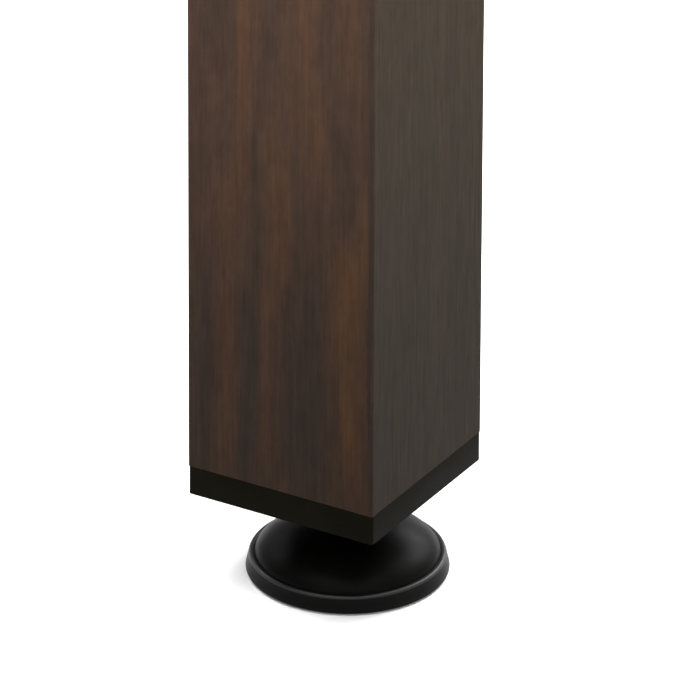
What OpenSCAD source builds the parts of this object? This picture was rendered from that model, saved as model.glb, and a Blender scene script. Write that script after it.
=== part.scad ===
// Lower end of a square veneered furniture leg with its screw-adjusted, tilting leveling foot.
// Millimetres, +Z up. The origin is the centre of the foot's underside, on the stem's axis.
// The leg's faces look along X and Y.

/* [Leg] */
// Side of the square leg
leg_w = 50; // [46:1:70]
// Length of leg above the end cap
leg_len = 145; // [80:1:300]
// Shift of the leg's centre from the stem's axis, along X
leg_dx = -2.6; // [-4:0.1:4]
// Shift of the leg's centre from the stem's axis, along Y
leg_dy = -1.7; // [-4:0.1:4]
// Thickness of each face veneer
veneer_t = 0.8; // [0.5:0.1:1.5]
// Width of the middle stave of the core
stave_mid_w = 25; // [24:1:28]

/* [End cap] */
// Height of the black end cap
cap_h = 7.3; // [6.5:0.1:12]
// Radius of the cap's upright edges
cap_corner_r = 0.6; // [0.3:0.1:3]
// Distance of the cap's underside above the floor
cap_gap = 24.5; // [23.5:0.1:30]
// Half the distance between neighbouring cap screws
cap_screw_at = 17.5; // [17:0.5:18]

/* [Threaded stem] */
// Radius of the stem's thread, M8
stem_r = 4; // [4:0.5:4]
// Height of the stem's tip above the floor
stem_top = 60; // [56:1:64]
// Radius of the ball at the stem's foot
ball_r = 5; // [4.8:0.1:5.1]
// Width of the hexagon across its flats
hex_af = 14; // [13:1:17]
// Height of the hexagon
hex_h = 4.5; // [4:0.5:5]

/* [Foot] */
// Radius of the foot at the floor
base_r = 24.1; // [22:0.1:28]
// Radius at the top of the side wall
rim_r = 23.4; // [22.8:0.1:27]
// Height of the side wall's top
rim_z = 4.8; // [4:0.1:5]
// Rise of the dome above the rim's ledge, as if it ran on to the axis
dome_rise = 8.8; // [8.4:0.1:8.9]
// Thickness of the rubber pad
pad_t = 1.6; // [1.2:0.1:2]

/* [Hidden] */
$fn = 96;
// Running clearance between parts that turn or slide in each other
fit = 0.05;
// Reach of a cut past the face it opens
over = 1;

// Heights of the leg
core_w = leg_w - 2 * veneer_t;
core_z = cap_gap + cap_h;
leg_top = core_z + leg_len;

// Wood screws through the cap
cap_screw_r = 1.75;
cap_screw_len = 26;
cap_screw_head_r = 3.6;
cap_screw_head_h = 2.2;

// Flanged insert that holds the stem's thread
insert_r = 6.5;
insert_len = 16;
insert_flange_r = 11;
insert_flange_h = 2;
insert_screw_r = 1.2;
insert_screw_at = 8.8;
insert_screw_len = 11;
insert_screw_head_r = 2;
insert_screw_head_h = 1;
insert_screws_n = 3;
stem_clear_r = 4.8;
stem_bore_top = stem_top + 6;

// Ball joint, all its spheres about one centre
ball_z = 9;
race_t = 0.85;
race_ri = ball_r + fit;
race_ro = race_ri + race_t;
socket_ri = race_ro + fit;
socket_ro = 7;
race_up = 2.3;
race_down = 3.6;
socket_up = 3.2;
neck_r = 3.2;

// Washer in its groove under the hexagon
groove_r = 2.8;
washer_r = 5.6;
washer_z = 14.3;
washer_h = 0.85;
hex_z = 15.2;
hex_chamfer = 0.7;

// Foot's moulding
sole_z = 0.4;
sole_round = 0.6;
wall = 2.2;
rim_round = 0.55;
ledge_in = 22;
ledge_z = rim_z - 0.25;
dome_power = 1.9;
dome_fullness = 0.61;
boss_r = 7.6;
boss_round = 0.3;
boss_top = 13.1;
boss_mouth_r = 4.4;
hub_r = socket_ro + 1.8;
pad_r = 21.2;
rib_n = 8;
rib_t = 1.4;

// Plate that holds the socket in, and its screws
plate_r = 13.5;
plate_t = 0.8;
plate_z = pad_t;
plate_top = plate_z + plate_t;
post_r = 1.9;
post_at = 10.2;
post_top = 10.6;
plate_screw_r = 0.9;
plate_screw_len = 4.2;
plate_screws_n = 3;
plate_screw_turn = 22.5;
steps = 14;

// Points of a circular arc, from one angle to another
function arc(x, z, r, from, to, n = 6) =
    [for (i = [0:n]) let (a = from + (to - from) * i / n) [x + r * cos(a), z + r * sin(a)]];

// Height of the dome over its ledge, at a radius
function dome_h(r) = dome_rise * pow(1 - pow(r / ledge_in, dome_power), dome_fullness);

// Points of the dome from its edge in to the boss, closest together at the edge, and lowered by a wall's
// thickness where it is the inside
function dome_points(r_out, r_in, drop) =
    [for (i = [0:steps]) let (r = r_out + (r_in - r_out) * pow(i / steps, 1.7)) [r, ledge_z + dome_h(r) - drop]];

// Places its children at the centre of the leg
module at_leg() {
    translate([leg_dx, leg_dy, 0]) children();
}

// Places a copy of its children at each corner screw
module at_cap_screws() {
    for (x = [-1, 1], y = [-1, 1]) translate([leg_dx + x * cap_screw_at, leg_dy + y * cap_screw_at, 0]) children();
}

// Places copies of its children evenly round the stem's axis
module around(n, radius, turn = 0) {
    for (i = [0:n - 1]) rotate([0, 0, turn + i * 360 / n]) translate([radius, 0, 0]) children();
}

// Cylinder between two heights
module rod(r, z0, z1) {
    translate([0, 0, z0]) cylinder(r = r, h = z1 - z0);
}

// Square with round corners
module round_square(side, r) {
    square([side, side - 2 * r], center = true);
    square([side - 2 * r, side], center = true);
    for (x = [-1, 1], y = [-1, 1]) translate([x * (side / 2 - r), y * (side / 2 - r)]) circle(r = r);
}

// Cross recess cut down into a screw's head from below
module cross_recess(width, thick, depth) {
    for (a = [0, 90]) rotate([0, 0, a])
        translate([-width / 2, -thick / 2, -over]) cube([width, thick, depth + over]);
}

// One stave of the core, between two X positions, with every hole that meets it
module stave(x0, x1) {
    difference() {
        translate([leg_dx + x0, leg_dy - core_w / 2, core_z]) cube([x1 - x0, core_w, leg_len]);
        rod(insert_r, core_z - over, core_z + insert_len);
        rod(stem_clear_r, core_z, stem_bore_top);
        at_cap_screws() rod(cap_screw_r, core_z - over, cap_gap + cap_screw_len);
        around(insert_screws_n, insert_screw_at)
            rod(insert_screw_r, core_z - over, core_z - insert_flange_h + insert_screw_len);
    }
}

module core_stave_left() {
    color("burlywood") stave(-core_w / 2, -stave_mid_w / 2);
}

module core_stave_middle() {
    color("tan") stave(-stave_mid_w / 2, stave_mid_w / 2);
}

module core_stave_right() {
    color("burlywood") stave(stave_mid_w / 2, core_w / 2);
}

// Veneer leaf with mitred edges, on the face that looks along -Y before it is turned
module veneer(turn) {
    half = leg_w / 2;
    at_leg() rotate([0, 0, turn]) translate([0, 0, core_z]) linear_extrude(leg_len)
        polygon([[-half, -half], [half, -half], [half - veneer_t, veneer_t - half], [veneer_t - half, veneer_t - half]]);
}

module veneer_front() {
    color("saddlebrown") veneer(0);
}

module veneer_right() {
    color("dimgray") veneer(90);
}

module veneer_back() {
    color("saddlebrown") veneer(180);
}

module veneer_left() {
    color("dimgray") veneer(270);
}

// Moulded plate under the leg, with the insert's flange let into its upper face
module end_cap() {
    color([0.09, 0.09, 0.08]) difference() {
        at_leg() translate([0, 0, cap_gap]) linear_extrude(cap_h) round_square(leg_w, cap_corner_r);
        rod(stem_clear_r, cap_gap - over, core_z);
        rod(insert_flange_r + fit, core_z - insert_flange_h - insert_screw_head_h, core_z + over);
        at_cap_screws() {
            rod(cap_screw_r + fit, cap_gap - over, core_z + over);
            translate([0, 0, cap_gap])
                cylinder(r1 = cap_screw_head_r + fit, r2 = cap_screw_r + fit, h = cap_screw_head_h);
        }
    }
}

module cap_screws() {
    color("dimgray") at_cap_screws() difference() {
        rotate_extrude() polygon([[0, cap_gap], [cap_screw_head_r, cap_gap],
            [cap_screw_r, cap_gap + cap_screw_head_h], [cap_screw_r, cap_gap + cap_screw_len - 4],
            [0, cap_gap + cap_screw_len]]);
        translate([0, 0, cap_gap]) cross_recess(3.6, 0.8, 1.3);
    }
}

// Threaded sleeve with a flange that carries the load into the leg's end
module threaded_insert() {
    color("silver") difference() {
        union() {
            rod(insert_flange_r, core_z - insert_flange_h, core_z);
            rod(insert_r, core_z - insert_flange_h, core_z + insert_len);
        }
        rod(stem_r + fit, core_z - insert_flange_h - over, core_z + insert_len + over);
        around(insert_screws_n, insert_screw_at)
            rod(insert_screw_r, core_z - insert_flange_h - over, core_z + over);
    }
}

module insert_screws() {
    color("gray") around(insert_screws_n, insert_screw_at) difference() {
        union() {
            rod(insert_screw_head_r, core_z - insert_flange_h - insert_screw_head_h, core_z - insert_flange_h);
            rod(insert_screw_r, core_z - insert_flange_h, core_z - insert_flange_h + insert_screw_len);
        }
        translate([0, 0, core_z - insert_flange_h - insert_screw_head_h]) cross_recess(2.2, 0.5, 0.6);
    }
}

// Washer that keeps dirt out of the ball joint
module neck_washer() {
    color("dimgray") difference() {
        rod(washer_r, washer_z, washer_z + washer_h);
        rod(groove_r + fit, washer_z - over, washer_z + washer_h + over);
    }
}

// Ball, neck, washer groove and thread in one turned piece
module threaded_stem() {
    tip = 1;
    color("silver") {
        translate([0, 0, ball_z]) sphere(r = ball_r);
        rotate_extrude() polygon([[0, ball_z], [neck_r, ball_z], [neck_r, washer_z - fit],
            [groove_r, washer_z - fit], [groove_r, hex_z], [stem_r, hex_z],
            [stem_r, stem_top - tip], [stem_r - tip, stem_top], [0, stem_top]]);
    }
}

// Hexagon for the spanner, fixed on the stem, with its corners turned off
module hex_collar() {
    corner_r = hex_af / sqrt(3);
    color([0.12, 0.12, 0.12]) difference() {
        intersection() {
            translate([0, 0, hex_z]) cylinder(r = corner_r, h = hex_h, $fn = 6);
            rotate_extrude() polygon([[0, hex_z], [corner_r - hex_chamfer, hex_z],
                [corner_r + 0.1, hex_z + hex_chamfer], [corner_r + 0.1, hex_z + hex_h - hex_chamfer],
                [corner_r - hex_chamfer, hex_z + hex_h], [0, hex_z + hex_h]]);
        }
        rod(stem_r, hex_z - over, hex_z + hex_h + over);
    }
}

// Slippery ring round the ball, spherical inside and out
module ball_race() {
    color("ivory") intersection() {
        difference() {
            translate([0, 0, ball_z]) sphere(r = race_ro);
            translate([0, 0, ball_z]) sphere(r = race_ri);
        }
        rod(race_ro + over, ball_z - race_down, ball_z + race_up);
    }
}

// Domed foot: side wall, ledge and dome outside, hub and ribs inside
module foot_base() {
    inner_r = base_r - wall;
    color([0.1, 0.1, 0.1]) difference() {
        union() {
            difference() {
                rotate_extrude() polygon(concat(
                    [[0, sole_z]],
                    arc(base_r - sole_round, sole_z + sole_round, sole_round, -90, 0),
                    arc(rim_r - rim_round, rim_z - rim_round, rim_round, 0, 90),
                    dome_points(ledge_in, boss_r, 0),
                    arc(boss_r - boss_round, boss_top - boss_round, boss_round, 0, 90),
                    [[0, boss_top]]));
                rotate_extrude() polygon(concat(
                    [[hub_r, sole_z - over], [inner_r - 1, sole_z - over], [inner_r - 1, ledge_z - wall]],
                    dome_points(ledge_in - 2 * wall, hub_r, wall)));
            }
            intersection() {
                around(rib_n, 0) translate([hub_r - 0.5, -rib_t / 2, plate_top])
                    cube([inner_r - hub_r, rib_t, ledge_z - plate_top]);
                rod(inner_r, plate_top, ledge_z);
            }
            around(plate_screws_n, post_at, plate_screw_turn) rod(post_r, plate_top, post_top);
        }
        rod(pad_r + fit, sole_z - over, plate_z);
        rod(plate_r + fit, sole_z - over, plate_top);
        rod(socket_ro, sole_z - over, ball_z + socket_up);
        rod(boss_mouth_r, ball_z, boss_top + over);
        around(plate_screws_n, post_at, plate_screw_turn) rod(plate_screw_r, plate_z, plate_top + plate_screw_len);
    }
}

// Cup that holds the race, pressed up into the foot's hub
module ball_socket() {
    color("whitesmoke") difference() {
        rod(socket_ro, plate_top, ball_z + socket_up);
        translate([0, 0, ball_z]) sphere(r = socket_ri);
    }
}

// Steel disc that closes the hub and spreads the load over the pad
module retaining_plate() {
    color("lightsteelblue") difference() {
        rod(plate_r, plate_z, plate_top);
        around(plate_screws_n, post_at, plate_screw_turn)
            translate([0, 0, plate_z]) cylinder(r1 = plate_screw_r + plate_t, r2 = plate_screw_r, h = plate_t);
    }
}

module plate_screws() {
    color("gray") around(plate_screws_n, post_at, plate_screw_turn) rotate_extrude()
        polygon([[0, plate_z], [plate_screw_r + plate_t, plate_z], [plate_screw_r, plate_top],
            [plate_screw_r, plate_top + plate_screw_len - 1], [0, plate_top + plate_screw_len]]);
}

// Rubber disc under the foot, with two ring grooves in its sole
module floor_pad() {
    groove = 0.4;
    color("darkslategray") difference() {
        rod(pad_r, 0, pad_t);
        for (r = [9, 15]) rotate_extrude() translate([r, -over]) square([1.2, groove + over]);
    }
}

core_stave_left();
core_stave_middle();
core_stave_right();
veneer_front();
veneer_right();
veneer_back();
veneer_left();
end_cap();
cap_screws();
threaded_insert();
insert_screws();
neck_washer();
threaded_stem();
hex_collar();
ball_race();
foot_base();
ball_socket();
retaining_plate();
plate_screws();
floor_pad();
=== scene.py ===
"""Looks of a square veneered leg's end with its leveling foot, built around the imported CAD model."""
import math

import bmesh
import bpy
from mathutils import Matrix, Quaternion, Vector


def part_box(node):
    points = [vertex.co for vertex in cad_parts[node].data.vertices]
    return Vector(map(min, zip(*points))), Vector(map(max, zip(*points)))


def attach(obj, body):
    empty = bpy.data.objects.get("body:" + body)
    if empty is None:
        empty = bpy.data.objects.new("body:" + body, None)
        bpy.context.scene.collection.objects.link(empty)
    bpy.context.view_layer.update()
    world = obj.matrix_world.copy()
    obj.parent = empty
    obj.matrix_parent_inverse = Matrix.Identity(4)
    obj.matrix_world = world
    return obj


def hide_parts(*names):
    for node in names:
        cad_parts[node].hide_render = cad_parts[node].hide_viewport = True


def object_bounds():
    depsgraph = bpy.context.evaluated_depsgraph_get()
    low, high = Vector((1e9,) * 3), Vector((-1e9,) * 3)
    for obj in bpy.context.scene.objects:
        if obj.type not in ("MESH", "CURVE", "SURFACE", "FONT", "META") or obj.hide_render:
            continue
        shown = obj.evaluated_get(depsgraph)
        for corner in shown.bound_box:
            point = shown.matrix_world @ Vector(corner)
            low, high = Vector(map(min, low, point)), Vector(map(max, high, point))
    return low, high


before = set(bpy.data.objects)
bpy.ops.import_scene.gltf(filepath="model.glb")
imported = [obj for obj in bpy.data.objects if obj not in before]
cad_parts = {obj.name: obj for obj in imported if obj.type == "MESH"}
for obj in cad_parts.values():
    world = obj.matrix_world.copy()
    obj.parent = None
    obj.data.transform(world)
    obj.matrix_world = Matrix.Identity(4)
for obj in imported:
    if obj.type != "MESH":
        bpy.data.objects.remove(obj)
cad_low, cad_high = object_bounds()
MM = 0.001

# Camera, at a long lens from the front right, in millimetres and degrees. It aims at a height on the
# leg's axis, shifted to the side and up in the picture
CAM_AZIMUTH = 30.54
CAM_ELEVATION = 27.49
CAM_DISTANCE = 2807.0
CAM_LENS = 617.1
CAM_ROLL = 0.25
AIM_HEIGHT = 60.0
AIM_SIDE = 3.46
AIM_UP = -1.78

# Thread of the stem
PITCH = 1.25
THREAD_DEPTH = 0.72

# Curve of the foot's dome, as in the CAD source: rise over the ledge, radius at the ledge and the two powers
DOME_RISE = 8.8
DOME_RADIUS = 22.0
DOME_POWER = 1.9
DOME_FULLNESS = 0.61
RIM_TOP = 4.8
LEDGE_Z = RIM_TOP - 0.25


# ---------------------------------------------------------------- frame

def span(node):
    """Lowest and highest corner of a CAD node, in millimetres."""
    low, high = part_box(node)
    return low / MM, high / MM


def centre_xy(node):
    """Middle of a CAD node in plan, in millimetres."""
    low, high = span(node)
    return (low.x + high.x) / 2, (low.y + high.y) / 2


LEG_X, LEG_Y = centre_xy("end_cap")
VENEER_LOW, VENEER_HIGH = span("veneer_front")
BASE_LOW, BASE_HIGH = span("foot_base")
PAD_LOW, PAD_HIGH = span("floor_pad")
SOCKET_LOW, SOCKET_HIGH = span("ball_socket")
STEM_TOP = span("threaded_stem")[1].z
HEX_LOW, HEX_HIGH = span("hex_collar")
WASHER_LOW = span("neck_washer")[0]
LEG_WIDTH = VENEER_HIGH.x - VENEER_LOW.x


# ---------------------------------------------------------------- mesh helpers

def finish_mesh(name, mesh_data, crease=32):
    """Object of a bmesh, in metres, with smooth faces and sharp creases."""
    bmesh.ops.recalc_face_normals(mesh_data, faces=mesh_data.faces)
    mesh = bpy.data.meshes.new(name)
    mesh_data.to_mesh(mesh)
    mesh_data.free()
    for face in mesh.polygons:
        face.use_smooth = True
    mesh.set_sharp_from_angle(angle=math.radians(crease))
    piece = bpy.data.objects.new(name, mesh)
    bpy.context.scene.collection.objects.link(piece)
    return piece


def arc(x, z, radius, start, end, count):
    """Points of an arc in a profile, angles in degrees."""
    angles = [math.radians(start + (end - start) * i / count) for i in range(count + 1)]
    return [(x + radius * math.cos(a), z + radius * math.sin(a)) for a in angles]


def vertex(work, radius, angle, height):
    """Vertex at cylindrical coordinates, in millimetres and radians."""
    return work.verts.new((radius * math.cos(angle) * MM, radius * math.sin(angle) * MM, height * MM))


def ring_at(work, radius, height, segments):
    """Ring of vertices about the Z axis, or a single vertex where the radius is 0."""
    if radius < 1e-6:
        return [work.verts.new((0, 0, height * MM))]
    return [vertex(work, radius, 2 * math.pi * i / segments, height) for i in range(segments)]


def skin(work, low, high, segments):
    """Faces between two rings, either of which may be a single vertex."""
    for i in range(segments):
        j = (i + 1) % segments
        corners = [low[i % len(low)], low[j % len(low)], high[j % len(high)], high[i % len(high)]]
        corners = [v for k, v in enumerate(corners) if v is not corners[k - 1]]
        if len(corners) > 2:
            work.faces.new(corners)


def lathe(name, profile, segments, crease):
    """Closed solid of revolution. The profile is (radius, height) points that run round the section."""
    work = bmesh.new()
    rings = [ring_at(work, radius, height, segments) for radius, height in profile]
    for low, high in zip(rings, rings[1:] + rings[:1]):
        skin(work, low, high, segments)
    return finish_mesh(name, work, crease)


def eased(name, node, width, steps):
    """Copy of a CAD node whose edges of over 40 degrees are rounded over by a width in millimetres."""
    work = bmesh.new()
    work.from_mesh(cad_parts[node].data)
    bmesh.ops.remove_doubles(work, verts=work.verts, dist=1e-6)
    bmesh.ops.dissolve_limit(work, angle_limit=math.radians(0.5), verts=work.verts, edges=work.edges)
    limit = math.radians(40)
    sharp = [e for e in work.edges if len(e.link_faces) == 2 and e.calc_face_angle() > limit]
    bmesh.ops.bevel(work, geom=sharp, offset=width * MM, offset_type="OFFSET", segments=steps,
                    profile=0.5, affect="EDGES", clamp_overlap=True)
    return finish_mesh(name, work)


def place(piece, body, node, material):
    """Gives a new piece its material, hangs it on the empty of the body it rides on, and hides the CAD node
    that it stands for.
    """
    piece.data.materials.clear()
    piece.data.materials.append(material)
    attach(piece, body)
    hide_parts(node)


# ---------------------------------------------------------------- material helpers

class Shader:
    """A small node-tree writer around one Principled shader."""

    def __init__(self, name, **values):
        self.material = bpy.data.materials.new(name)
        self.material.use_nodes = True
        self.tree = self.material.node_tree
        self.shader = self.tree.nodes["Principled BSDF"]
        for key, value in values.items():
            self.shader.inputs[key.replace("_", " ")].default_value = value

    def node(self, kind, **settings):
        made = self.tree.nodes.new(kind)
        for key, value in settings.items():
            setattr(made, key, value)
        return made

    def link(self, source, target):
        if isinstance(source, (int, float)):
            target.default_value = source
        elif isinstance(source, tuple):
            target.default_value = (*source, 1.0)[:len(target.default_value)]
        else:
            self.tree.links.new(source, target)

    def coords(self, scale=(1, 1, 1), shift=(0, 0, 0)):
        """The point in the row frame, in metres, scaled and shifted."""
        where = self.node("ShaderNodeTexCoord").outputs["Object"]
        mapping = self.node("ShaderNodeMapping")
        mapping.inputs["Scale"].default_value = scale
        mapping.inputs["Location"].default_value = shift
        self.link(where, mapping.inputs["Vector"])
        return mapping.outputs[0]

    def split_mm(self):
        """Outputs X, Y and Z of the point in the row frame, in millimetres."""
        split = self.node("ShaderNodeSeparateXYZ")
        self.link(self.coords((1 / MM, 1 / MM, 1 / MM)), split.inputs[0])
        return split.outputs

    def distance(self, x, y):
        """Length of the vector of two lengths."""
        squares = [self.math("MULTIPLY", value, value) for value in (x, y)]
        return self.math("SQRT", self.math("ADD", *squares))

    def noise(self, vector, scale, detail, rough, warp=0.0):
        made = self.node("ShaderNodeTexNoise")
        made.inputs["Scale"].default_value = scale
        made.inputs["Detail"].default_value = detail
        made.inputs["Roughness"].default_value = rough
        made.inputs["Distortion"].default_value = warp
        self.link(vector, made.inputs["Vector"])
        return made.outputs["Fac"]

    def math(self, operation, a, b=0.0):
        made = self.node("ShaderNodeMath", operation=operation)
        self.link(a, made.inputs[0])
        self.link(b, made.inputs[1])
        return made.outputs[0]

    def ease(self, value, start, end, low=0.0, high=1.0):
        """Smooth step from low to high as value goes from start to end."""
        made = self.node("ShaderNodeMapRange", interpolation_type="SMOOTHSTEP")
        for socket, number in zip(("From Min", "From Max", "To Min", "To Max"), (start, end, low, high)):
            made.inputs[socket].default_value = number
        self.link(value, made.inputs["Value"])
        return made.outputs["Result"]

    def mix(self, factor, a, b, blend="MIX"):
        made = self.node("ShaderNodeMix", data_type="RGBA", blend_type=blend)
        self.link(factor, made.inputs[0])
        self.link(a, made.inputs[6])
        self.link(b, made.inputs[7])
        return made.outputs[2]

    def ramp(self, value, stops):
        made = self.node("ShaderNodeValToRGB")
        points = made.color_ramp.elements
        while len(points) < len(stops):
            points.new(0.5)
        for point, (place_at, colour) in zip(points, stops):
            point.position = place_at
            point.color = (*colour, 1.0)
        self.link(value, made.inputs["Fac"])
        return made.outputs["Color"]

    def grey(self, value):
        """Colour with the value in all three channels."""
        made = self.node("ShaderNodeCombineColor")
        for channel in range(3):
            self.link(value, made.inputs[channel])
        return made.outputs[0]

    def colour(self, source):
        self.link(source, self.shader.inputs["Base Color"])

    def roughness(self, source):
        self.link(source, self.shader.inputs["Roughness"])

    def bump(self, height, strength, distance):
        """Bump of a height over a distance in millimetres, on top of any bump before it."""
        made = self.node("ShaderNodeBump")
        made.inputs["Strength"].default_value = strength
        made.inputs["Distance"].default_value = distance * MM
        self.link(height, made.inputs["Height"])
        previous = self.shader.inputs["Normal"].links
        if previous:
            self.link(previous[0].from_socket, made.inputs["Normal"])
        self.link(made.outputs[0], self.shader.inputs["Normal"])


# ---------------------------------------------------------------- wood

# Streaks of the warm veneer: distance from the left edge, half width, top and bottom heights, strength, tone.
# They follow the larger ones that show in the photo
STREAKS = [
    (6.0, 4.0, 180, 140, 0.45, "dark"),
    (14.2, 2.1, 180, 104, 0.70, "warm"),
    (17.8, 0.9, 128, 35, 0.60, "dark"),
    (24.0, 3.4, 118, 84, 0.80, "warm"),
    (30.0, 2.5, 112, 88, 0.45, "dark"),
    (36.2, 2.4, 137, 114, 0.75, "warm"),
    (42.3, 3.2, 130, 110, 0.50, "dark"),
    (47.4, 1.5, 115, 58, 0.75, "warm"),
    (41.8, 4.0, 100, 70, 0.75, "amber"),
    (43.4, 2.4, 66, 42, 0.95, "amber"),
    (10.0, 3.0, 112, 32, 0.65, "warm"),
    (15.6, 1.6, 84, 30, 0.60, "dark"),
    (21.2, 2.2, 86, 36, 0.75, "warm"),
    (31.0, 5.6, 88, 36, 0.60, "dark"),
    (3.5, 2.6, 90, 20, 0.45, "dark"),
    (49.4, 0.7, 180, 20, 0.75, "dark"),
]
# Distance over which a streak fades, above and below its ends
FADE = 9

# Stains of the veneers, and the colour in their pores. A number before a colour is its place on a ramp
TONES = {
    "mid": (0.0227, 0.0128, 0.0082),
    "warm": (0.0323, 0.0158, 0.0082),
    "amber": (0.0420, 0.0190, 0.0076),
    "dark": (0.0155, 0.0104, 0.0076),
}
GREY_TONES = [
    (0.28, (0.0143, 0.0097, 0.0054)),
    (0.50, (0.0162, 0.0109, 0.0060)),
    (0.75, (0.0186, 0.0121, 0.0063)),
]
PORE_TONE = (0.010, 0.006, 0.004)

# Sawn core: early wood to late wood, and the width of a year's ring
CORE_TONES = [
    (0.0, (0.20, 0.140, 0.080)),
    (0.7, (0.165, 0.100, 0.052)),
    (1.0, (0.11, 0.062, 0.030)),
]
RING_WIDTH = 2.6


def streak_mask(wood, across, height, centre, half, top, bottom, strength):
    """Soft-edged vertical band that fades out above its top and below its bottom."""
    away = wood.math("ABSOLUTE", wood.math("SUBTRACT", across, centre))
    band = wood.ease(away, half * 1.5, half * 0.35, 0.0, strength)
    under = wood.ease(height, top + FADE, top - FADE)
    over = wood.ease(height, bottom - FADE, bottom + FADE)
    return wood.math("MULTIPLY", band, wood.math("MULTIPLY", under, over))


def grain_layers(wood, seed):
    """Broad figure, fine grain and pores, all stretched along Z."""
    def stretched(across, along):
        return wood.coords((across, across, along), (seed, seed * 0.7, seed * 1.3))
    figure = wood.noise(stretched(190, 11), 1.0, 4.0, 0.50, 0.5)
    fine = wood.noise(stretched(1300, 55), 1.0, 6.0, 0.65, 0.3)
    pores = wood.noise(stretched(3200, 210), 1.0, 3.0, 0.55)
    return figure, fine, pores


def wood_finish(wood, colour, fine, pores, contrast, pore_depth):
    """Fine grain, mottling and open pores over a colour, with painted shade that darkens it low down and
    painted light that lightens it high up, under a satin lacquer.
    """
    lines = wood.ease(fine, 0.25, 0.75, 1 - contrast, 1 + contrast)
    tinted = wood.mix(1.0, colour, wood.grey(lines), "MULTIPLY")
    blotch = wood.noise(wood.coords((360, 360, 150)), 1.0, 3.0, 0.6)
    tinted = wood.mix(1.0, tinted, wood.grey(wood.ease(blotch, 0.3, 0.7, 0.90, 1.10)), "MULTIPLY")
    # painted shade and light: the veneer is made darker towards the bottom and lighter towards the top,
    # standing in for light that falls off lower down the leg
    painted_height_shade = wood.ease(wood.split_mm()["Z"], VENEER_LOW.z, VENEER_HIGH.z, 0.87, 1.10)
    tinted = wood.mix(1.0, tinted, wood.grey(painted_height_shade), "MULTIPLY")
    pit = wood.ease(pores, 0.60, 0.70, 0.0, pore_depth)
    wood.colour(wood.mix(pit, tinted, PORE_TONE))
    wood.roughness(wood.ease(fine, 0.25, 0.75, 0.66, 0.52))
    wood.bump(fine, contrast, 0.04)
    wood.bump(wood.ease(pores, 0.70, 0.58), pore_depth, 0.04)
    return wood.material


def warm_veneer(name, seed, from_right=False):
    """Reddish walnut-stained veneer with streaks placed across the face, from its left or its right edge."""
    wood = Shader(name, Specular_IOR_Level=0.06)
    figure, fine, pores = grain_layers(wood, seed)
    at = wood.split_mm()
    across = wood.math("SUBTRACT", at["X"], LEG_X - LEG_WIDTH / 2)
    if from_right:
        across = wood.math("SUBTRACT", LEG_WIDTH, across)
    sway = wood.noise(wood.coords((40, 40, 13), (seed, 0, 0)), 1.0, 2.0, 0.5)
    across = wood.math("ADD", across, wood.ease(sway, 0.25, 0.75, -1.3, 1.3))
    colour = wood.ramp(figure, [(0.20, TONES["dark"]), (0.46, TONES["mid"]), (0.85, TONES["warm"])])
    for centre, half, top, bottom, strength, tone in STREAKS:
        mask = streak_mask(wood, across, at["Z"], centre, half, top, bottom, strength)
        colour = wood.mix(mask, colour, TONES[tone])
    return wood_finish(wood, colour, fine, pores, 0.13, 0.28)


def grey_veneer(name, seed):
    """Plainer, greyer leaf of the same stain."""
    wood = Shader(name, Specular_IOR_Level=0.045)
    figure, fine, pores = grain_layers(wood, seed)
    return wood_finish(wood, wood.ramp(figure, GREY_TONES), fine, pores, 0.06, 0.14)


def core_wood(name, ring_x, ring_y, seed):
    """Sawn softwood. Its growth rings turn about an upright axis off the stave, so its end shows arcs."""
    wood = Shader(name, Specular_IOR_Level=0.25)
    at = wood.split_mm()
    wobble = wood.noise(wood.coords((55, 55, 8), (seed, seed, 0)), 1.0, 3.0, 0.5)
    far = wood.distance(wood.math("SUBTRACT", at["X"], ring_x), wood.math("SUBTRACT", at["Y"], ring_y))
    bent = wood.math("ADD", far, wood.ease(wobble, 0.2, 0.8, -1.6, 1.6))
    ring = wood.math("FRACT", wood.math("DIVIDE", bent, RING_WIDTH))
    late = wood.ease(ring, 0.45, 0.95)
    colour = wood.ramp(late, CORE_TONES)
    fibre = wood.noise(wood.coords((2600, 2600, 60)), 1.0, 4.0, 0.6)
    shade = wood.ease(fibre, 0.3, 0.7, 0.80, 1.10)
    wood.colour(wood.mix(1.0, colour, wood.grey(shade), "MULTIPLY"))
    wood.roughness(wood.ease(fibre, 0.2, 0.8, 0.86, 0.70))
    wood.bump(fibre, 0.35, 0.08)
    wood.bump(late, 0.20, 0.05)
    return wood.material


# ---------------------------------------------------------------- plastics, rubber and metals

def moulded(name, tone, worn, rough, shine, grain_size, grain_depth):
    """Shader of moulded plastic: fine spark-eroded grain, soft flow marks, dust and slightly paler wear."""
    plastic = Shader(name, Specular_IOR_Level=shine)
    grain = plastic.noise(plastic.coords(), 1000 / grain_size, 3.0, 0.6)
    cloud = plastic.noise(plastic.coords(), 60.0, 4.0, 0.6)
    speck = plastic.noise(plastic.coords(), 900.0, 2.0, 0.5)
    soft = plastic.ease(cloud, 0.35, 0.70)
    dusty = plastic.ease(speck, 0.62, 0.74, 0.0, 0.35)
    plastic.colour(plastic.mix(dusty, plastic.mix(soft, tone, worn), tuple(min(1.0, c * 2.2) for c in worn)))
    plastic.roughness(plastic.ease(cloud, 0.30, 0.70, rough - 0.05, rough + 0.07))
    plastic.bump(grain, 0.30, grain_depth)
    plastic.bump(cloud, 0.15, 0.10)
    return plastic


def cap_plastic():
    """The cap's plastic, matt and faintly olive."""
    tone = (0.0028, 0.0026, 0.0011)
    worn = (0.0044, 0.0040, 0.0019)
    plastic = moulded("cap_plastic", tone, worn, rough=0.55, shine=0.018, grain_size=0.35, grain_depth=0.05)
    return plastic.material


def washer_nylon():
    """Black nylon, smoother than the cap."""
    tone = (0.010, 0.010, 0.011)
    worn = (0.016, 0.016, 0.017)
    nylon = moulded("washer_nylon", tone, worn, rough=0.45, shine=0.35, grain_size=0.3, grain_depth=0.02)
    return nylon.material


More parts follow.
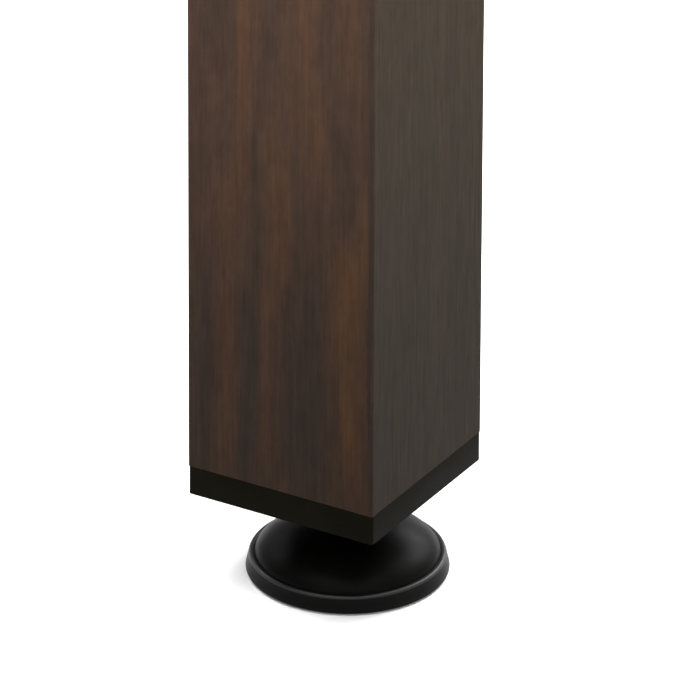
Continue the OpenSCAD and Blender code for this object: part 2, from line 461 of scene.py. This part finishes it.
def foot_plastic():
    """The foot's plastic, satin, and rubbed glossy on the crest of its rim."""
    satin = 0.062
    gloss = 0.50
    tone = (0.0012, 0.0012, 0.0011)
    worn = (0.0024, 0.0024, 0.0021)
    plastic = moulded("foot_plastic", tone, worn, rough=0.43, shine=satin, grain_size=0.25, grain_depth=0.02)
    at = plastic.split_mm()
    outside = plastic.ease(plastic.distance(at["X"], at["Y"]), DOME_RADIUS + 0.1, DOME_RADIUS + 0.3)
    high_up = plastic.ease(at["Z"], RIM_TOP - 0.8, RIM_TOP - 0.4)
    crest = plastic.math("MULTIPLY", outside, high_up)
    plastic.link(plastic.ease(crest, 0.0, 1.0, satin, gloss), plastic.shader.inputs["Specular IOR Level"])
    return plastic.material


def pale_plastic(name):
    """Natural acetal, smooth and off-white."""
    plastic = Shader(name, Specular_IOR_Level=0.45)
    cloud = plastic.noise(plastic.coords(), 300.0, 4.0, 0.6)
    plastic.colour(plastic.ramp(cloud, [(0.3, (0.70, 0.67, 0.60)), (0.7, (0.80, 0.78, 0.72))]))
    plastic.roughness(plastic.ease(cloud, 0.3, 0.7, 0.34, 0.42))
    plastic.bump(cloud, 0.1, 0.03)
    return plastic.material


def rubber(name):
    """Matt black rubber with a gritty skin."""
    sole = Shader(name, Specular_IOR_Level=0.25)
    grit = sole.noise(sole.coords(), 2200.0, 4.0, 0.65)
    cloud = sole.noise(sole.coords(), 120.0, 4.0, 0.55)
    sole.colour(sole.ramp(cloud, [(0.3, (0.016, 0.016, 0.016)), (0.75, (0.034, 0.033, 0.031))]))
    sole.roughness(sole.ease(grit, 0.2, 0.8, 0.92, 0.72))
    sole.bump(grit, 0.5, 0.06)
    return sole.material


def zinc(name):
    """Zinc-plated turned steel: bright, with fine turning lines round the axis and faint clouding."""
    metal = Shader(name, Metallic=1.0)
    lines = metal.noise(metal.coords((30, 30, 5200)), 1.0, 3.0, 0.6)
    cloud = metal.noise(metal.coords(), 260.0, 4.0, 0.55)
    metal.colour(metal.ramp(cloud, [(0.3, (0.50, 0.51, 0.53)), (0.7, (0.66, 0.66, 0.65))]))
    metal.roughness(metal.ease(cloud, 0.3, 0.7, 0.30, 0.42))
    metal.bump(lines, 0.18, 0.02)
    return metal.material


def black_steel(name):
    """Steel under black oxide or phosphate, rubbed a little brighter in clouds."""
    metal = Shader(name, Metallic=0.85)
    cloud = metal.noise(metal.coords(), 420.0, 5.0, 0.6)
    grit = metal.noise(metal.coords(), 3800.0, 3.0, 0.6)
    metal.colour(metal.ramp(cloud, [(0.35, (0.020, 0.020, 0.021)), (0.66, (0.036, 0.036, 0.038)),
                                    (0.80, (0.085, 0.083, 0.080))]))
    metal.roughness(metal.ease(cloud, 0.3, 0.75, 0.50, 0.34))
    metal.bump(grit, 0.2, 0.03)
    return metal.material


# ---------------------------------------------------------------- pieces

def dome(radius, drop=0.0):
    """Point of the dome's curve at a radius, lowered by drop."""
    rise = DOME_RISE * (1 - (radius / DOME_RADIUS) ** DOME_POWER) ** DOME_FULLNESS
    return radius, LEDGE_Z + rise - drop


def foot_shell():
    """Domed moulding: rounded sole, flared wall, rim with a fine groove, dome, boss, and the hub inside."""
    sole = BASE_LOW.z
    outer = (BASE_HIGH.x - BASE_LOW.x) / 2
    boss_top = BASE_HIGH.z
    rim_outer = outer - 0.7
    rim_width = 0.9
    boss = 7.6
    mouth = 4.4
    hub = 8.8
    wall = 2.2
    # where the dome's inside meets the hub and the side wall
    inner_dome = 17.6
    inner_wall = 20.9
    pad_space = (PAD_HIGH.x - PAD_LOW.x) / 2 + 0.05
    pad_top = PAD_HIGH.z
    socket = (SOCKET_HIGH.x - SOCKET_LOW.x) / 2

    # the dome's points lie closest together at its edge, where it is steepest
    count = 48
    edge = DOME_RADIUS - 0.05
    sweep = [edge + (boss + 0.30 - edge) * (i / count) ** 1.7 for i in range(count + 1)]
    under = [inner_dome + (hub - inner_dome) * i / 16 for i in range(17)]

    profile = [(pad_space, sole)]
    profile += arc(outer - 0.6, sole + 0.6, 0.6, -90, 0, 8)
    profile += [(outer - 0.35, 2.6)]
    profile += arc(rim_outer - 0.7, RIM_TOP - 0.7, 0.7, 0, 90, 12)
    profile += arc(rim_outer - rim_width, RIM_TOP - 0.18, 0.18, 90, 150, 3)
    profile += [(DOME_RADIUS + 0.18, LEDGE_Z + 0.14), (DOME_RADIUS + 0.04, LEDGE_Z + 0.13)]
    profile += [dome(r) for r in sweep]
    profile += [(boss + 0.08, dome(boss + 0.3)[1] + 0.10)]
    profile += arc(boss - 0.3, boss_top - 0.3, 0.3, 0, 90, 6)
    profile += arc(mouth + 0.4, boss_top - 0.4, 0.4, 90, 180, 6)
    profile += [(mouth, SOCKET_HIGH.z), (socket, SOCKET_HIGH.z), (socket, SOCKET_LOW.z), (hub, SOCKET_LOW.z)]
    profile += [dome(r, wall) for r in reversed(under)]
    profile += [(inner_wall, LEDGE_Z - wall), (inner_wall, pad_top), (pad_space, pad_top)]
    return lathe("foot_dome", profile, segments=192, crease=34)


def thread_rows(work, start, end, crest, root, segments):
    """Rows of vertices of a right-hand thread, one for each corner of its outline and each turn."""
    outline = [(0.00, root), (0.12, root), (0.46, crest), (0.58, crest), (0.92, root)]
    chamfer = 1.0
    rows = []
    for turn in range(-1, int((end - start) / PITCH) + 2):
        for share, outline_radius in outline:
            row = []
            for i in range(segments):
                height = start + (turn + share + i / segments) * PITCH
                radius = outline_radius
                if height <= start:
                    height = start
                    radius = root
                height = min(height, end)
                radius = min(radius, crest - chamfer + (end - height))
                row.append(vertex(work, radius, 2 * math.pi * i / segments, height))
            rows.append(row)
    return rows, len(outline)


def helix_stem():
    """Ball, neck and washer groove, and a real right-hand thread up to a chamfered tip."""
    crest = 4.0
    root = crest - THREAD_DEPTH
    ball = 5.0
    ball_z = 9.0
    neck = 3.2
    groove = 2.8
    groove_low = WASHER_LOW.z - 0.06
    start = HEX_HIGH.z - 0.4
    segments = 72
    reach = math.degrees(math.acos(neck / ball))
    profile = [(0.0, ball_z - ball)] + arc(0, ball_z, ball, -88, reach, 30)
    profile += [(neck, groove_low), (groove, groove_low), (groove, HEX_LOW.z)]
    profile += [(crest, HEX_LOW.z), (crest, start - 0.3), (root, start)]

    work = bmesh.new()
    rings = [ring_at(work, radius, height, segments) for radius, height in profile]
    for low, high in zip(rings, rings[1:]):
        skin(work, low, high, segments)
    rows, per_turn = thread_rows(work, start, STEM_TOP, crest, root, segments)
    last = segments - 1
    for k in range(len(rows) - 1):
        for i in range(last):
            work.faces.new([rows[k][i], rows[k][i + 1], rows[k + 1][i + 1], rows[k + 1][i]])
        # the end of a row meets the start of the same row one turn up
        if k + 1 + per_turn < len(rows):
            above, above_next = rows[k + per_turn][0], rows[k + 1 + per_turn][0]
            work.faces.new([rows[k][last], above, above_next, rows[k + 1][last]])
    bmesh.ops.remove_doubles(work, verts=work.verts, dist=2e-6)
    return finish_mesh("stem_with_thread", work, 40)


def build_pieces():
    """Detailed pieces in place of CAD nodes, then materials on the CAD nodes that stay."""
    leaves = (
        ("veneer_front", "veneer_warm", warm_veneer("veneer_front_wood", 3.0)),
        ("veneer_back", "veneer_warm", warm_veneer("veneer_back_wood", 11.0, from_right=True)),
        ("veneer_right", "veneer_grey", grey_veneer("veneer_right_wood", 5.0)),
        ("veneer_left", "veneer_grey", grey_veneer("veneer_left_wood", 17.0)),
    )
    for node, slot, material in leaves:
        place(eased(node + "_leaf", node, 0.12, 2), "leg", node, material)
    place(eased("end_cap_plate", "end_cap", 0.45, 4), "leg", "end_cap", cap_plastic())
    place(foot_shell(), "base", "foot_base", foot_plastic())
    place(helix_stem(), "stem", "threaded_stem", zinc("zinc_thread"))
    collar = eased("hex_nut_collar", "hex_collar", 0.12, 2)
    place(collar, "stem", "hex_collar", black_steel("black_oxide"))

    coats = {
        "core_stave_left": core_wood("stave_left_wood", -60.0, 22.0, 1.0),
        "core_stave_middle": core_wood("stave_middle_wood", 4.0, -48.0, 6.0),
        "core_stave_right": core_wood("stave_right_wood", 52.0, 30.0, 9.0),
        "cap_screws": black_steel("black_screws"),
        "threaded_insert": zinc("zinc_insert"),
        "insert_screws": black_steel("black_insert_screws"),
        "neck_washer": washer_nylon(),
        "ball_race": pale_plastic("race_acetal"),
        "ball_socket": pale_plastic("socket_acetal"),
        "retaining_plate": zinc("zinc_plate"),
        "plate_screws": black_steel("black_plate_screws"),
        "floor_pad": rubber("pad_rubber"),
    }
    for node, material in coats.items():
        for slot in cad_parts[node].material_slots:
            slot.material = material


# ---------------------------------------------------------------- stage

def stage():
    """Plain pale floor with a faint glow, as of a lit sweep, to lift the shade beside the foot."""
    work = bmesh.new()
    bmesh.ops.create_grid(work, x_segments=8, y_segments=8, size=6.0)
    floor = finish_mesh("studio_floor", work)
    pale = Shader("floor_paint", Specular_IOR_Level=0.1)
    cloud = pale.noise(pale.coords(), 6.0, 3.0, 0.5)
    pale.colour(pale.ramp(cloud, [(0.3, (0.93, 0.93, 0.93)), (0.7, (0.95, 0.95, 0.95))]))
    pale.shader.inputs["Roughness"].default_value = 0.9
    pale.shader.inputs["Emission Color"].default_value = (1.0, 1.0, 1.0, 1.0)
    pale.shader.inputs["Emission Strength"].default_value = 0.12
    floor.data.materials.append(pale.material)
    # the foot stays on the floor when the stem is turned, and the leg rises
    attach(floor, "carriage")


def direction(azimuth, elevation):
    """Unit vector from the object, in degrees. Azimuth is 0 in front and 90 at the right."""
    a, e = math.radians(azimuth), math.radians(elevation)
    return Vector((math.sin(a) * math.cos(e), -math.cos(a) * math.cos(e), math.sin(e)))


def area_light(name, azimuth, elevation, distance, size, power, target, spread=180):
    """Square light that faces a target, in metres, watts and degrees."""
    light = bpy.data.lights.new(name, "AREA")
    light.shape = "SQUARE"
    light.size = size
    light.energy = power
    light.spread = math.radians(spread)
    lamp = bpy.data.objects.new(name, light)
    away = direction(azimuth, elevation)
    lamp.location = target + away * distance
    lamp.rotation_euler = (-away).to_track_quat("-Z", "Y").to_euler()
    lamp.visible_camera = False
    bpy.context.scene.collection.objects.link(lamp)


def lights():
    """Softbox overhead, two strips behind that edge the dome, and a beam on the leg's two seen faces."""
    world = bpy.data.worlds.new("studio")
    bpy.context.scene.world = world
    world.use_nodes = True
    world.node_tree.nodes["Background"].inputs["Color"].default_value = (1.0, 1.0, 1.0, 1.0)
    world.node_tree.nodes["Background"].inputs["Strength"].default_value = 0.32
    middle = (cad_low + cad_high) / 2
    foot = Vector((0.0, 0.0, 0.01))
    leg_end = Vector((LEG_X, LEG_Y, VENEER_HIGH.z + 25)) * MM
    area_light("softbox_above", 30, 84, 1.0, 1.0, 18.5, middle)
    area_light("strip_back_right", 170, 36, 0.9, 0.46, 7.0, foot)
    area_light("strip_back_left", -104, 42, 0.9, 0.40, 2.2, foot)
    area_light("beam_front", 40, 34, 0.6, 0.16, 0.37, leg_end, 22)


def camera():
    """The photo's view, with its small roll."""
    lens = bpy.data.cameras.new("camera")
    lens.lens = CAM_LENS
    lens.sensor_width = 36.0
    lens.clip_start = 0.01
    lens.clip_end = 50.0
    eye = bpy.data.objects.new("camera", lens)
    back = direction(CAM_AZIMUTH, CAM_ELEVATION)
    right = direction(CAM_AZIMUTH + 90, 0)
    up = back.cross(right)
    aim = Vector((LEG_X, LEG_Y, AIM_HEIGHT)) + right * AIM_SIDE + up * AIM_UP
    eye.location = (aim + back * CAM_DISTANCE) * MM
    roll = Quaternion((0.0, 0.0, 1.0), math.radians(CAM_ROLL))
    eye.rotation_euler = ((-back).to_track_quat("-Z", "Y") @ roll).to_euler()
    bpy.context.scene.collection.objects.link(eye)
    bpy.context.scene.camera = eye


build_pieces()
stage()
lights()
camera()
bpy.context.scene.view_settings.view_transform = "Standard"
